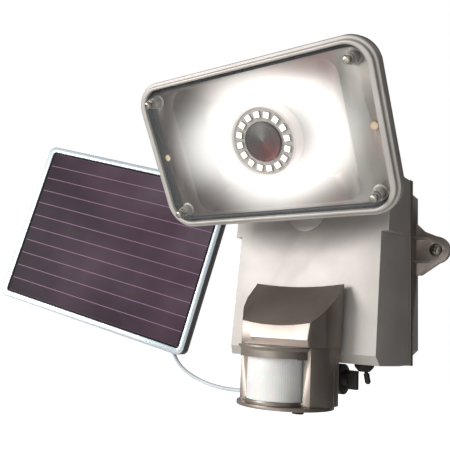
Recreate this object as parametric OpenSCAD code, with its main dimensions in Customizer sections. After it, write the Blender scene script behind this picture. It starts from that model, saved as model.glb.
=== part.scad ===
// Solar flood light for a wall: a battery housing with a tilting LED lamp head,
// a swivelling motion sensor below it and a separate solar panel on its own bracket.
// The wall is the plane y = 0. The light stands out of it towards -Y, with +Z up.

/* [Housing] */
// Width of the housing across its covers
housing_w = 143; // [130:1:160]
// Height of the housing
housing_h = 146; // [140:1:150]
// Depth of the rear cover from the wall to the seam
rear_depth = 22; // [20:1:26]
// Thickness of the moulded walls
wall = 2.5; // [2:0.1:3]
// Lean of the housing's front face from upright, in degrees
face_lean = 5.4; // [3:0.1:7]
// Distance from the wall to the front face, level with the housing's middle
face_depth = 64.4; // [62:0.1:67]
// Height above the middle where the front cover steps in
ledge_z = 26.5; // [20:0.5:30]
// Distance from the middle to each wall screw
ear_x = 86; // [84:1:92]
// Height of the wall screws above the middle
ear_z = 18.5; // [10:0.5:25]

/* [Lamp head] */
// Width of the lamp head
head_w = 199; // [190:1:206]
// Height of the lamp head
head_h = 119; // [114:1:124]
// Radius of the lamp head's corners
head_r = 21; // [19:1:24]
// Lean of the lamp head towards the ground, in degrees
head_lean = 30; // [26:1:32]
// Height of the lamp head's hinge above the middle
head_hinge_z = 76; // [74:0.5:78]
// Distance from the wall to the lamp head's hinge
head_hinge_depth = 82; // [80:0.5:84]
// Number of LEDs in the ring
led_count = 16; // [12:1:18]
// Radius of the circle that the LEDs sit on
led_ring_r = 20.3; // [19.5:0.1:21]

/* [Motion sensor] */
// Radius of the milky lens
lens_r = 22.2; // [21:0.1:23]
// Distance from the wall to the middle of the lens
lens_depth = 100; // [98:0.5:103]
// Radius of the sensor's base disc
base_r = 36.5; // [35:0.5:38]
// Half the width of the sensor's casing at its back
sensor_half_w = 38; // [37:0.5:39]

/* [Solar panel] */
// Width of the solar panel
panel_w = 218; // [200:1:230]
// Height of the solar panel
panel_h = 166; // [150:1:170]
// Thickness of the solar panel
panel_t = 13; // [11:1:14]
// Number of thin-film strips on the panel
strip_count = 11; // [8:1:14]
// Turn of the panel about its upright hinge, in degrees
panel_turn = 16.3; // [14:0.1:18]
// Lean of the panel back from upright, in degrees
panel_lean = 3.4; // [0:0.1:6]
// Roll of the panel in its own plane, in degrees
panel_roll = 13.5; // [10:0.1:16]

/* [Cord] */
// Diameter of the panel's cord
cord_d = 3.6; // [3.4:0.1:3.8]

/* [Hidden] */
$fn = 64;

silver = [0.74, 0.72, 0.69];
dark_silver = [0.42, 0.39, 0.37];
black = [0.06, 0.06, 0.06];
steel = [0.72, 0.72, 0.72];

half_w = housing_w / 2;
half_h = housing_h / 2;
face_slope = tan(face_lean);
// Depth of the front face at the height z
function face_y(z) = -face_depth + z * face_slope;

// The four battery cells' radius and places
cell_r = 7.25;
cell_x = [-23.2, -7.7, 7.7, 23.2];
// Corners of the housing where its screws run
screw_x = half_w - 9.5;
screw_z = half_h - 15;
// Inside corners of the rear cover are cut off by this much
corner_cut = 10;
// The head boss, with a neck above its middle that ends in an upright barrel
boss_z = 45;
boss_r = 16.5;
neck_z = 45.5;
neck_r = 6;
cable_r = 3.5;
neck_y = -77;
barrel_z0 = 40;
barrel_z1 = 53;
stem_r = 4;
// The sensor's post, the switch and the cord gland
post_y = -50;
post_r = 6;
switch_x = 47;
switch_y = -52;
switch_angle = 12;
gland_x = -40;
gland_y = -34;
bottom = -half_h;

bottom_in = bottom + wall;

// The lamp head's face centre, in the plane of its bezel
head_y = -150;
head_z = 74.7;
// Its hinge's place in its own frame
hinge_dy = head_y + head_hinge_depth;
hinge_dz = head_hinge_z - head_z;
hinge_back = -hinge_dy * cos(head_lean) + hinge_dz * sin(head_lean);
hinge_up = hinge_dy * sin(head_lean) + hinge_dz * cos(head_lean);
// Its back, and the lens screws and side pins around its face
shell_back = 44;
lens_screw_x = 83;
lens_screw_z = 45;
pin_x = 88;
// Depths behind the face: the bezel's front and back, the lens's flange, the reflector, the LEDs
bezel_front = 9;
bezel_back = 18;
lens_flange_y = 12.2;
reflector_y = 16.2;
reflector_floor = 33.2;
led_y = 20;
// The clear lens's front plate
lens_w = head_w - 18;
lens_h = head_h - 14;

// The sensor's split line, the back of its casing and visor, its hinge and its base
sensor_split = -84;
sensor_back_y = -76.5;
visor_back_y = -72;
hinge_y = -50;
hinge_z = -86;
base_z = -106;

// The panel's upright hinge, and distances back from the panel's face
pan_x = -230;
pan_y = -16;
pan_z = 24;
pan_d = 63;
tilt_d = 27;
rod_r = 6;
ear_y = -(pan_d - tilt_d);
// The panel's own screws, and the junction box below its hinge
panel_screw_x = 85;
panel_screw_z = 60;
box_z = -44;

// The cord's coil hangs on the bracket's rod: 4 turns deep and 7 turns across
coil_mid_r = 23.5;
coil_half = 12.7;
coil_t = 14.6;
coil_y = -16.5;
coil_drop = 4.6;

// ---------- shared shapes ----------

// Rounded rectangle, centred
module rounded(w, h, r) {
    square([w - 2 * r, h], center = true);
    square([w, h - 2 * r], center = true);
    for (x = [-1, 1], z = [-1, 1])
        translate([x * (w / 2 - r), z * (h / 2 - r)]) circle(r);
}

// Plate with the rounded outline, from the depth y0 back to y1
module slab(w, h, r, y0, y1) {
    translate([0, y1, 0]) rotate([90, 0, 0]) linear_extrude(y1 - y0) rounded(w, h, r);
}

// Cylinder along Y from y0 to y1
module rod_y(r, y0, y1) {
    translate([0, y1, 0]) rotate([90, 0, 0]) cylinder(h = y1 - y0, r = r);
}

// Cylinder along X from x0 to x1
module rod_x(r, x0, x1) {
    translate([x0, 0, 0]) rotate([0, 90, 0]) cylinder(h = x1 - x0, r = r);
}

// Box from one corner to the other
module block(a, b) {
    translate(a) cube(b - a);
}

// Places its children at the four points (+-x, +-z)
module four(x, z) {
    for (a = [-x, x], b = [-z, z]) translate([a, 0, b]) children();
}

// Hexagon nut along Z from z = 0, with a bore
module nut(across, h, bore) {
    difference() {
        cylinder(h = h, r = across, $fn = 6);
        translate([0, 0, -1]) cylinder(h = h + 2, r = bore);
    }
}

// Cross-headed screw along +Y with its head's top at y = 0
module screw_y(r, head_r, head_t, length) {
    difference() {
        union() {
            rod_y(head_r, 0, head_t);
            rod_y(r, head_t - 0.5, length);
        }
        for (a = [0, 90])
            rotate([0, a, 0]) block([-head_r * 0.55, -1, -r * 0.2], [head_r * 0.55, head_t * 0.6, r * 0.2]);
    }
}

// Places its children on the housing's front face, with -Y along the face's normal
module on_face(z) {
    translate([0, face_y(z), z]) rotate([-face_lean, 0, 0]) children();
}

// Places its children in the lamp head's frame: face centre at the origin, -Y out of the face
module in_head() {
    translate([0, head_y, head_z]) rotate([head_lean, 0, 0]) children();
}

// Places its children in the bracket's frame: hinge at the origin, +Y towards the wall
module in_arm() {
    translate([pan_x, pan_y, pan_z]) rotate([0, 0, panel_turn]) children();
}

// Places its children in the panel's frame: face centre at the origin, -Y out of the face
module in_panel(roll = panel_roll) {
    in_arm() translate([0, ear_y, 0]) rotate([-panel_lean, 0, 0])
        translate([0, -tilt_d, 0]) rotate([0, roll, 0]) children();
}

// ---------- housing ----------

// Half outline of the front cover, as [distance out, depth behind the face]
lower_half = [[63.4, 0], [65.5, 7], [71.5, 24], [71.5, 90]];
upper_half = [[69.2, 0], [71.5, 22], [71.5, 90]];

function mirrored(half) = concat(half, [for (i = [len(half) - 1:-1:0]) [-half[i][0], half[i][1]]]);

// Block behind the leaning face, drawn in by t all round, between two heights
module cover_block(half, z0, z1, t) {
    shrunk = [for (p = half) [p[0] - t, p[1] + t]];
    intersection() {
        translate([0, face_y(0), 0]) rotate([-face_lean, 0, 0])
            linear_extrude(300, center = true) polygon(mirrored(shrunk));
        block([-half_w, -100, z0], [half_w, -rear_depth, z1]);
    }
}

// Solid outline of the front cover, drawn in by t
module front_solid(t) {
    intersection() {
        union() {
            cover_block(lower_half, -half_h + t, ledge_z + t, t);
            cover_block(upper_half, ledge_z + t, half_h - t, t);
        }
        rotate([90, 0, 90]) linear_extrude(housing_w + 2, center = true)
            polygon([[-rear_depth, -half_h + t], [face_y(-half_h) + 5 + t, -half_h + t],
                [face_y(7 - half_h) + t, 7 - half_h + t], [-90, 7 - half_h + t],
                [-90, half_h], [-55, half_h - t], [-rear_depth, half_h - t]]);
    }
}

module front_cover() {
    color(silver) difference() {
        union() {
            difference() {
                front_solid(0);
                front_solid(wall);
                block([-half_w + wall, -rear_depth - 1, -half_h + wall], [half_w - wall, -rear_depth + 1, half_h - wall]);
            }
            four(screw_x, screw_z) rod_y(4.5, -45, -rear_depth);
            for (side = [0, 1], z = [-screw_z, screw_z]) mirror([side, 0, 0])
                block([screw_x, -45, z - 1.2], [half_w - 1.5, -rear_depth, z + 1.2]);
        }
        four(screw_x, screw_z) rod_y(1.55, -42, -rear_depth + 1);
        on_face(neck_z) rod_y(neck_r + 0.05, -5, 8);
        translate([0, post_y, bottom - 1]) cylinder(h = 6, r = post_r + 0.05);
        translate([switch_x, switch_y, bottom - 1]) cylinder(h = 6, r = 3.05);
        translate([gland_x, gland_y, bottom - 1]) cylinder(h = 6, r = 3.55);
    }
}

// Outline of the rear cover with its corners cut off
module rear_outline(w, h, cut) {
    polygon([[-w / 2 + cut, -h / 2], [w / 2 - cut, -h / 2], [w / 2, -h / 2 + cut], [w / 2, h / 2 - cut],
        [w / 2 - cut, h / 2], [-w / 2 + cut, h / 2], [-w / 2, h / 2 - cut], [-w / 2, -h / 2 + cut]]);
}

module ear(side) {
    mirror([side < 0 ? 1 : 0, 0, 0]) {
        difference() {
            rotate([90, 0, 0]) linear_extrude(4) union() {
                polygon([[half_w - 3, -2], [74, -2], [91, ear_z - 9], [97, ear_z],
                    [91.5, ear_z + 9], [77, ear_z + 15.5], [half_w - 3, ear_z + 24]]);
                translate([ear_x, ear_z]) circle(11);
            }
            translate([ear_x, 0, ear_z]) rod_y(2.6, -5, 1);
        }
        for (z = [ear_z - 9.5, ear_z + 9.5])
            translate([0, 0, z - 0.9]) linear_extrude(1.8)
                polygon([[half_w - 2, -3.5], [82, -3.5], [79, -5.5], [half_w - 2, -14]]);
    }
}

// Square ring that fills the groove in the rear cover's rim
module seal_ring(grow, y0, y1) {
    translate([0, y1, 0]) rotate([90, 0, 0]) linear_extrude(y1 - y0) difference() {
        square([housing_w - 1.2 + grow, housing_h - 1.2 + grow], center = true);
        square([housing_w - 4.2 - grow, housing_h - 4.2 - grow], center = true);
    }
}

module rear_cover() {
    color(dark_silver) {
        difference() {
            union() {
                difference() {
                    union() {
                        rotate([90, 0, 0]) linear_extrude(rear_depth)
                            rear_outline(housing_w - 2, housing_h - 2, corner_cut);
                        translate([0, -rear_depth + 5, 0]) rotate([90, 0, 0]) linear_extrude(5)
                            square([housing_w + 1, housing_h + 1], center = true);
                    }
                    rotate([90, 0, 0]) translate([0, 0, 3]) linear_extrude(rear_depth)
                        rear_outline(housing_w - 2 - 2 * wall, housing_h - 2 - 2 * wall, corner_cut);
                }
                four(screw_x, screw_z) rod_y(4.5, -rear_depth, -2);
                board_places() rod_y(3.5, -30, -2);
            }
            four(screw_x, screw_z) {
                rod_y(1.7, -rear_depth - 1, 1);
                rod_y(3.3, -8, 1);
            }
            board_places() rod_y(1.55, -31, -6);
            seal_ring(0.1, -rear_depth - 1, -rear_depth + 1.2);
        }
        ear(1);
        ear(-1);
    }
}

module housing_gasket() {
    color(black) seal_ring(0, -rear_depth, -rear_depth + 1.15);
}

module housing_screws() {
    color(steel) four(screw_x, screw_z) translate([0, -6, 0]) mirror([0, 1, 0]) screw_y(1.5, 2.9, 1.95, 34);
}

module wall_screws() {
    color(steel) for (x = [-ear_x, ear_x]) translate([x, -4, ear_z]) {
        difference() {
            intersection() {
                translate([0, 3.2, 0]) sphere(6.2);
                rod_y(5, -3, 0);
            }
            for (a = [20, 110])
                rotate([0, a, 0]) block([-3, -4, -0.5], [3, -1.3, 0.5]);
        }
        rod_y(2.3, 0, 4.5);
        rod_y(2.55, 4, 26);
    }
}

// ---------- electrics inside the housing ----------

module battery_holder() {
    color(black) difference() {
        block([-33, -16, -38], [33, -3, 20]);
        for (x = cell_x) translate([x, -16.5, -35.5]) cylinder(h = 53, r = cell_r + 0.3);
        block([-31, -17, -35.5], [31, -14.5, 17.5]);
    }
}

module battery_cells() {
    color("seagreen") for (x = cell_x) translate([x, -16.5, -34.5]) {
        cylinder(h = 49.5, r = cell_r);
        cylinder(h = 51, r = 2.6);
    }
}

// Places its children at the control board's four screws
module board_places() {
    translate([0, 0, -3]) four(41, 31) children();
}

module control_board() {
    color("darkgreen") difference() {
        block([-45, -31.6, -38], [45, -30, 32]);
        board_places() rod_y(1.7, -33, -29);
    }
}

module board_parts() {
    color(black) {
        for (i = [0:3]) block([-30 + i * 14, -36.6, 12], [-20 + i * 14, -31.6, 20]);
        translate([-28, -31.6, -20]) rod_y(5, -13, 0);
        translate([-12, -31.6, -20]) rod_y(4, -9, 0);
        block([4, -34.1, -26], [20, -31.6, -12]);
        block([26, -38.6, -30], [34, -31.6, -6]);
    }
}

module board_screws() {
    color(steel) board_places() translate([0, -33.6, 0]) screw_y(1.5, 2.8, 1.95, 26);
}

module switch_body() {
    color(black) difference() {
        union() {
            block([switch_x - 6.5, switch_y - 4.5, bottom_in + 0.1], [switch_x + 6.5, switch_y + 4.5, bottom + 16]);
            translate([switch_x, switch_y, bottom - 3]) cylinder(h = 8, r = 3);
        }
        translate([switch_x, switch_y, bottom + 1]) sphere(2.55);
        translate([switch_x, switch_y, bottom - 5]) cylinder(h = 6, r1 = 4.2, r2 = 1.6);
    }
}

// Rubber boot over the switch's neck
module switch_boot() {
    color(black) translate([switch_x, switch_y, bottom]) rotate_extrude()
        polygon([[3.1, 0], [7.2, 0], [7.4, -1.6], [6.6, -3], [4.4, -5.4], [4, -5.8], [3, -5.8], [3.1, -3]]);
}

module switch_lever() {
    color(black) translate([switch_x, switch_y, bottom + 1]) {
        sphere(2.5);
        rotate([0, -switch_angle, 0]) {
            translate([0, 0, -8.5]) cylinder(h = 8, r1 = 1.4, r2 = 1);
            translate([0, 0, -14]) cylinder(h = 5.8, r = 2.2);
            translate([0, 0, -14]) sphere(2.2);
        }
    }
}

module cord_gland() {
    color(dark_silver) translate([gland_x, gland_y, bottom]) difference() {
        union() {
            translate([0, 0, -3.5]) cylinder(h = 3.5, r = 6.5, $fn = 6);
            cylinder(h = 8, r = 3.5);
            translate([0, 0, wall + 0.1]) cylinder(h = 3, r = 6, $fn = 6);
        }
        translate([0, 0, -6]) cylinder(h = 20, r = cord_d / 2 + 0.05);
    }
}

module strain_relief() {
    color(black) translate([gland_x, gland_y, bottom - 3.5]) difference() {
        translate([0, 0, -15]) cylinder(h = 15, r1 = 2.7, r2 = 4.4);
        translate([0, 0, -16]) cylinder(h = 17, r = cord_d / 2 + 0.05);
        for (i = [0:3]) translate([0, 0, -3.5 - i * 3]) difference() {
            cylinder(h = 1.2, r = 6);
            translate([0, 0, -1]) cylinder(h = 4, r = 2.6);
        }
    }
}

// ---------- lamp head and its knuckle ----------

// Disc on the face with a neck that ends in an upright barrel
module head_boss() {
    color(silver) difference() {
        union() {
            on_face(boss_z) rod_y(boss_r, -1.5, -0.1);
            on_face(neck_z) rod_y(neck_r, -14, 4);
            translate([0, neck_y, barrel_z0]) cylinder(h = barrel_z1 - barrel_z0, r = 9);
        }
        translate([0, neck_y, barrel_z0 - 1]) cylinder(h = 20, r = stem_r + 0.05);
        on_face(neck_z) rod_y(cable_r, -8, 5);
    }
}

// Swivel that turns on the barrel and carries the head's hinge between two ears
module head_yoke() {
    color(silver) difference() {
        union() {
            translate([0, neck_y, barrel_z0 - 3.8]) cylinder(h = 20, r = stem_r);
            translate([0, neck_y, barrel_z1 + 0.3]) cylinder(h = 4, r = 10.5);
            for (s = [-1, 1]) {
                translate([0, -head_hinge_depth, head_hinge_z]) rod_x(9, s > 0 ? 6.3 : -11.3, s > 0 ? 11.3 : -6.3);
                block([s > 0 ? 6.3 : -9.5, -head_hinge_depth - 5, barrel_z1 + 1],
                    [s > 0 ? 9.5 : -6.3, -head_hinge_depth + 9, head_hinge_z]);
            }
        }
        translate([0, -head_hinge_depth, head_hinge_z]) rod_x(3.05, -20, 20);
    }
}

module yoke_nut() {
    color(steel) translate([0, neck_y, barrel_z0 - 3.3]) nut(7, 3, stem_r + 0.03);
}

module head_hinge_bolt() {
    color(steel) translate([0, -head_hinge_depth, head_hinge_z]) {
        rod_x(3, -12.5, 17);
        rod_x(5.5, -15.5, -11.5);
    }
}

module head_hinge_nut() {
    color(steel) translate([11.5, -head_hinge_depth, head_hinge_z]) rotate([0, 90, 0]) nut(5.6, 4, 3.03);
}

// Outline of the lamp head's tray, t in from the casing's outside
module tray(t, y0, y1) {
    hull() {
        slab(head_w - 8 - 2 * t, head_h - 8 - 2 * t, head_r - 4 - t, y0, y0 + 1);
        slab(130 - 2 * t, 84 - 2 * t, 16 - t, y1 - 1, y1);
    }
}

module head_shell() {
    color(dark_silver) difference() {
        union() {
            slab(head_w - 2, head_h - 2, head_r - 1, bezel_back, bezel_back + 4);
            tray(0, bezel_back + 3.5, shell_back);
            for (i = [-5:5]) if (abs(i) > 1)
                block([i * 9 - 1, shell_back - 8, -30], [i * 9 + 1, shell_back + 5, 30]);
            block([-6, shell_back - 6, -42], [6, 61, -28]);
            head_hinge_place() rod_x(9, -6, 6);
        }
        tray(wall, bezel_back + 3.4, shell_back - wall);
        slab(head_w - 13, head_h - 13, head_r - 6.5, bezel_back - 1, bezel_back + 5);
        head_hinge_place() rod_x(3.05, -10, 10);
    }
    color(dark_silver) difference() {
        intersection() {
            four(lens_screw_x, lens_screw_z) rod_y(3.3, 5.6, 34);
            union() {
                slab(lens_w, lens_h, 12, 5, bezel_back + 4);
                tray(0, bezel_back + 3.5, shell_back);
            }
        }
        four(lens_screw_x, lens_screw_z) rod_y(1.55, 5, 20);
    }
}

// The hinge's place in the lamp head's own frame
module head_hinge_place() {
    translate([0, hinge_back, hinge_up]) children();
}

// Frame round the lens, in two steps
module head_bezel() {
    color(silver) difference() {
        union() {
            slab(head_w - 5, head_h - 5, head_r - 2.5, bezel_front, bezel_front + 3);
            slab(head_w, head_h, head_r, bezel_front + 2.5, bezel_back);
        }
        slab(lens_w + 4, lens_h + 4, 15.3, bezel_front - 1, lens_flange_y);
        slab(head_w - 8, head_h - 8, head_r - 4, lens_flange_y - 0.1, bezel_back + 1);
    }
}

// Clear tray that stands out of the bezel, with a flange behind it
module head_lens() {
    color([0.9, 0.93, 0.95, 0.3]) difference() {
        union() {
            hull() {
                slab(lens_w, lens_h, 12, 3, 3.5);
                slab(lens_w + 3, lens_h + 3, 14.5, lens_flange_y - 0.2, lens_flange_y);
            }
            slab(head_w - 9, head_h - 9, head_r - 4.5, lens_flange_y, 14);
        }
        hull() {
            slab(lens_w - 4, lens_h - 4, 10, 5.4, 5.9);
            slab(lens_w - 1, lens_h - 1, 12.5, 14, 14.5);
        }
        four(lens_screw_x, lens_screw_z) rod_y(1.9, 2, 7);
    }
}

module lens_gasket() {
    color(black) difference() {
        slab(head_w - 9, head_h - 9, head_r - 4.5, 14.05, reflector_y - 0.05);
        slab(head_w - 15, head_h - 15, head_r - 7.5, 14, reflector_y);
    }
}

// Flat flange with a dish in its middle, open for the LEDs' heat sink
module reflector() {
    color([0.8, 0.79, 0.77]) difference() {
        union() {
            slab(head_w - 9, head_h - 9, head_r - 4.5, reflector_y, reflector_y + 1);
            hull() {
                slab(142, 100, 14, reflector_y + 0.2, reflector_y + 1);
                slab(112, 72, 14, reflector_floor, reflector_floor + 0.8);
            }
        }
        hull() {
            slab(140.4, 98.4, 13.2, reflector_y - 1, reflector_y + 0.1);
            slab(110.4, 70.4, 13.2, reflector_floor - 0.9, reflector_floor);
        }
        rod_y(25.8, reflector_floor - 5, reflector_floor + 2);
        four(lens_screw_x, lens_screw_z) rod_y(3.6, reflector_y - 1, reflector_y + 2);
        for (x = [-pin_x, pin_x]) translate([x, 0, 0]) rod_y(1.35, reflector_y - 1, reflector_y + 2);
    }
}

module lens_screws() {
    color(steel) four(lens_screw_x, lens_screw_z) translate([0, 0.9, 0]) screw_y(1.5, 3, 2.05, 14);
}

module reflector_pins() {
    color(silver) for (x = [-pin_x, pin_x]) translate([x, reflector_y - 1.95, 0]) {
        rod_y(2.5, 0, 1.9);
        rod_y(1.3, 1.5, 5);
    }
}

module led_board() {
    color("white") difference() {
        rod_y(25.4, led_y + 1.4, led_y + 3);
        rod_y(15.2, led_y, led_y + 4);
    }
}

module led_chips() {
    color([1, 0.97, 0.75]) for (i = [0:led_count - 1]) rotate([0, i * 360 / led_count, 0])
        block([-2.5, led_y, led_ring_r - 2.5], [2.5, led_y + 1.4, led_ring_r + 2.5]);
}

module led_heatsink() {
    color(steel) difference() {
        union() {
            rod_y(25.4, led_y + 3, led_y + 16);
            rod_y(12, led_y + 16, shell_back - 2.6);
        }
        for (i = [0:23]) rotate([0, i * 15, 0]) block([-1, led_y + 11, 18], [1, led_y + 17, 27]);
    }
}

// Domed-in disc in the middle of the ring of LEDs
module mirror_cap() {
    color([0.25, 0.23, 0.23]) difference() {
        union() {
            rod_y(15, led_y - 0.6, led_y + 1.5);
            rod_y(10, led_y + 1.5, led_y + 2.9);
        }
        translate([0, led_y - 60.2, 0]) sphere(60.2, $fn = 96);
    }
}

// ---------- motion sensor ----------

// Plan of the sensor's casing, t in from the outside
module sensor_plan(t) {
    polygon([[29.5 - t, -104.5 + t], [36.5 - t, -93], [sensor_half_w - t, -86], [sensor_half_w - t, sensor_back_y - t],
        [-sensor_half_w + t, sensor_back_y - t], [-sensor_half_w + t, -86], [-36.5 + t, -93], [-29.5 + t, -104.5 + t]]);
}

// The casing's outline between two heights, drawn in by t
module sensor_solid(t, z0, z1) {
    translate([0, 0, z0]) linear_extrude(z1 - z0) sensor_plan(t);
}

module sensor_front() {
    lens_z0 = -100.5;
    collar_z = -71;
    color(dark_silver) difference() {
        union() {
            intersection() {
                sensor_solid(0, base_z + 2.6, -62.3);
                block([-50, -130, -120], [50, sensor_split, -50]);
            }
            intersection() {
                translate([0, -lens_depth, base_z + 2.6]) cylinder(h = 4, r = 22.9);
                block([-50, -130, -120], [50, -100, lens_z0 + 0.5]);
            }
            intersection() {
                translate([0, -lens_depth, collar_z]) rotate_extrude()
                    polygon([[0, 0], [27.5, 0], [27.5, 5.5], [29.5, 7.8], [29.5, 8.6], [0, 8.6]]);
                block([-50, -130, -120], [50, sensor_split - 0.5, -50]);
            }
        }
        sensor_solid(2, base_z + 5, -64.5);
        block([-lens_r - 1.5, -130, lens_z0], [lens_r + 1.5, -96, collar_z + 0.6]);
        translate([0, -lens_depth, lens_z0 - 0.1]) cylinder(h = 31, r = lens_r + 0.1);
    }
}

module fresnel_lens() {
    color([0.9, 0.9, 0.88]) difference() {
        translate([0, -lens_depth, -100.4]) cylinder(h = 30.1, r = lens_r);
        translate([0, -lens_depth, -102]) cylinder(h = 34, r = lens_r - 1);
        block([-40, -97, -110], [40, -60, -60]);
    }
}

module sensor_rear() {
    color(dark_silver) difference() {
        union() {
            intersection() {
                sensor_solid(0, base_z + 2.6, -62.3);
                block([-50, sensor_split + 0.1, -120], [50, -60, -50]);
            }
            for (s = [-1, 1]) {
                translate([0, hinge_y, hinge_z]) rod_x(10, s > 0 ? 16.3 : -25, s > 0 ? 25 : -16.3);
                block([s > 0 ? 16.3 : -25, sensor_back_y - 1, hinge_z - 8], [s > 0 ? 25 : -16.3, hinge_y, hinge_z + 8]);
            }
        }
        intersection() {
            sensor_solid(2, base_z + 5, -64.5);
            block([-50, sensor_split - 1, -120], [50, sensor_back_y - 2, -50]);
        }
        translate([0, hinge_y, hinge_z]) rod_x(3.05, -40, 40);
    }
}

// Sloping hood with a flat lip, drawn in by t
module visor_solid(t) {
    intersection() {
        translate([0, 0, -62.2]) linear_extrude(60) polygon([[28 - t, -107.5 + t], [36 - t, -95 + t],
            [38.8 - t, -86], [38.8 - t, -60], [-38.8 + t, -60],
            [-38.8 + t, -86], [-36 + t, -95 + t], [-28 + t, -107.5 + t]]);
        rotate([90, 0, 90]) linear_extrude(100, center = true) polygon([[sensor_back_y - t, -62.2 - t],
            [-106.5, -62.2 - t], [-107.5 + t, -57 - t], [-106 + t, -45 - t], [visor_back_y - t, -14.5 - t * 1.8]]);
    }
}

module sensor_visor() {
    color(dark_silver) difference() {
        visor_solid(0);
        visor_solid(2);
    }
}

module sensor_base() {
    color(dark_silver) difference() {
        translate([0, -87, base_z]) cylinder(h = 2.5, r = base_r);
        block([-50, sensor_back_y, -120], [50, -40, -50]);
        for (x = [-18, 0, 18]) translate([x, -100, base_z - 1]) cylinder(h = 5, r = 2.05);
    }
}

module dial(x) {
    translate([x, -100, base_z]) difference() {
        union() {
            translate([0, 0, -2.8]) cylinder(h = 2.5, r = 4.2);
            translate([0, 0, -1]) cylinder(h = 3.4, r = 2);
        }
        block([-3, -0.5, -4], [3, 0.5, -2]);
    }
}

module range_dial() {
    color(black) dial(-18);
}

module timer_dial() {
    color(black) dial(0);
}

module light_dial() {
    color(black) dial(18);
}

module sensor_board() {
    color("darkgreen") block([-19, -93.6, -101], [19, -92, -66]);
}

module infrared_detector() {
    color(steel) translate([0, 0, -84]) {
        rod_y(4.6, -98, -93.6);
        rod_y(5.1, -94.2, -93.6);
    }
}

// Post out of the housing's bottom with a barrel across its foot
module sensor_arm() {
    color(dark_silver) difference() {
        union() {
            translate([0, post_y, hinge_z]) cylinder(h = bottom + 8 - hinge_z, r = post_r);
            translate([0, post_y, hinge_z]) cylinder(h = bottom - 0.4 - hinge_z, r = 9);
            translate([0, hinge_y, hinge_z]) rod_x(10, -16, 16);
        }
        translate([0, hinge_y, hinge_z]) rod_x(3.05, -20, 20);
    }
}

module sensor_arm_nut() {
    color(steel) translate([0, post_y, bottom_in + 0.1]) nut(10, 3.5, post_r + 0.03);
}

module sensor_bolt() {
    color(steel) translate([0, hinge_y, hinge_z]) {
        rod_x(3, -26, 31);
        rod_x(5.5, -28.5, -25.3);
    }
}

// Round clamp knob with a flat wing to turn it by
module sensor_knob() {
    color(dark_silver) translate([0, hinge_y, hinge_z]) difference() {
        union() {
            rod_x(11.5, 25.4, 30);
            rod_x(5, 30, 34);
            block([31, -2, -7], [41, 2, 7]);
        }
        rod_x(3.04, 20, 31.2);
    }
}

// ---------- panel bracket ----------

module bracket_flange() {
    color(black) translate([pan_x, 0, pan_z]) difference() {
        union() {
            rod_y(30, -4, 0);
            for (s = [-1, 1]) hull() {
                translate([0, pan_y, s > 0 ? 8.3 : -13.3]) cylinder(h = 5, r = 8, $fn = 32);
                block([-8, -4, s > 0 ? 8.3 : -13.3], [8, -3, s > 0 ? 13.3 : -8.3]);
            }
        }
        translate([0, pan_y, -20]) cylinder(h = 40, r = 3.05);
        for (a = [45:90:315]) rotate([0, a, 0]) translate([23, 0, 0]) rod_y(2.3, -6, 1);
    }
}

module flange_screws() {
    color(steel) translate([pan_x, 0, pan_z])
        for (a = [45:90:315]) rotate([0, a, 0]) translate([23, 0, 0]) {
            translate([0, -6.5, 0]) screw_y(2, 4, 2.5, 7);
            rod_y(2.25, 0, 21.5);
        }
}

module bracket_pin() {
    color(steel) translate([pan_x, pan_y, pan_z]) {
        translate([0, 0, -17]) cylinder(h = 33.5, r = 3);
        for (z = [-17, 13.5]) translate([0, 0, z]) cylinder(h = 3.5, r = 5.5, $fn = 6);
    }
}

// Barrel on the pin, a rod, and two ears that hold the panel's hinge
module bracket_arm() {
    color(black) in_arm() difference() {
        union() {
            translate([0, 0, -8]) cylinder(h = 16, r = 8);
            rod_y(rod_r, ear_y + 8, -4);
            block([-11.3, ear_y + 8.6, -7], [11.3, ear_y + 11.6, 7]);
            for (s = [-1, 1]) {
                translate([0, ear_y, 0]) rod_x(8, s > 0 ? 6.3 : -11.3, s > 0 ? 11.3 : -6.3);
                block([s > 0 ? 6.3 : -11.3, ear_y, -7], [s > 0 ? 11.3 : -6.3, ear_y + 9, 7]);
            }
        }
        translate([0, 0, -20]) cylinder(h = 40, r = 3.05);
        translate([0, ear_y, 0]) rod_x(3.05, -20, 20);
    }
}

module bracket_bolt() {
    color(steel) in_arm() translate([0, ear_y, 0]) {
        rod_x(3, -13, 20);
        rod_x(5.5, -14.5, -11.6);
    }
}

module bracket_knob() {
    color(black) in_arm() translate([0, ear_y, 0]) difference() {
        union() {
            rod_x(6, 11.6, 16);
            rod_x(8, 16, 23);
            for (i = [0:5]) rotate([i * 60 + 20, 0, 0]) translate([0, 7, 0]) rod_x(2.2, 16.6, 22.4);
        }
        rod_x(3.04, 10, 21);
    }
}

// ---------- solar panel ----------

module panel_tray() {
    color(black) in_panel() difference() {
        union() {
            difference() {
                slab(panel_w - 1, panel_h - 1, 6, 4.05, panel_t);
                slab(panel_w - 9, panel_h - 9, 3, 2, panel_t - 2.5);
            }
            rotate([0, -panel_roll, 0]) {
                rod_y(16, panel_t - 2.5, panel_t + 3);
                block([-6, panel_t, -7], [6, tilt_d, 7]);
                translate([0, tilt_d, 0]) rod_x(8, -6, 6);
            }
            four(panel_screw_x, panel_screw_z) rod_y(4, 5, panel_t - 1);
        }
        rotate([0, -panel_roll, 0]) translate([0, tilt_d, 0]) rod_x(3.05, -10, 10);
        four(panel_screw_x, panel_screw_z) rod_y(1.55, 4.4, panel_t + 1);
    }
}

module panel_frame() {
    color([0.82, 0.84, 0.86]) in_panel() difference() {
        slab(panel_w, panel_h, 7, 0, 4);
        slab(panel_w - 11, panel_h - 11, 3, -1, 2);
        slab(panel_w - 5.8, panel_h - 5.8, 4, 1.2, 5);
    }
}

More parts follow.
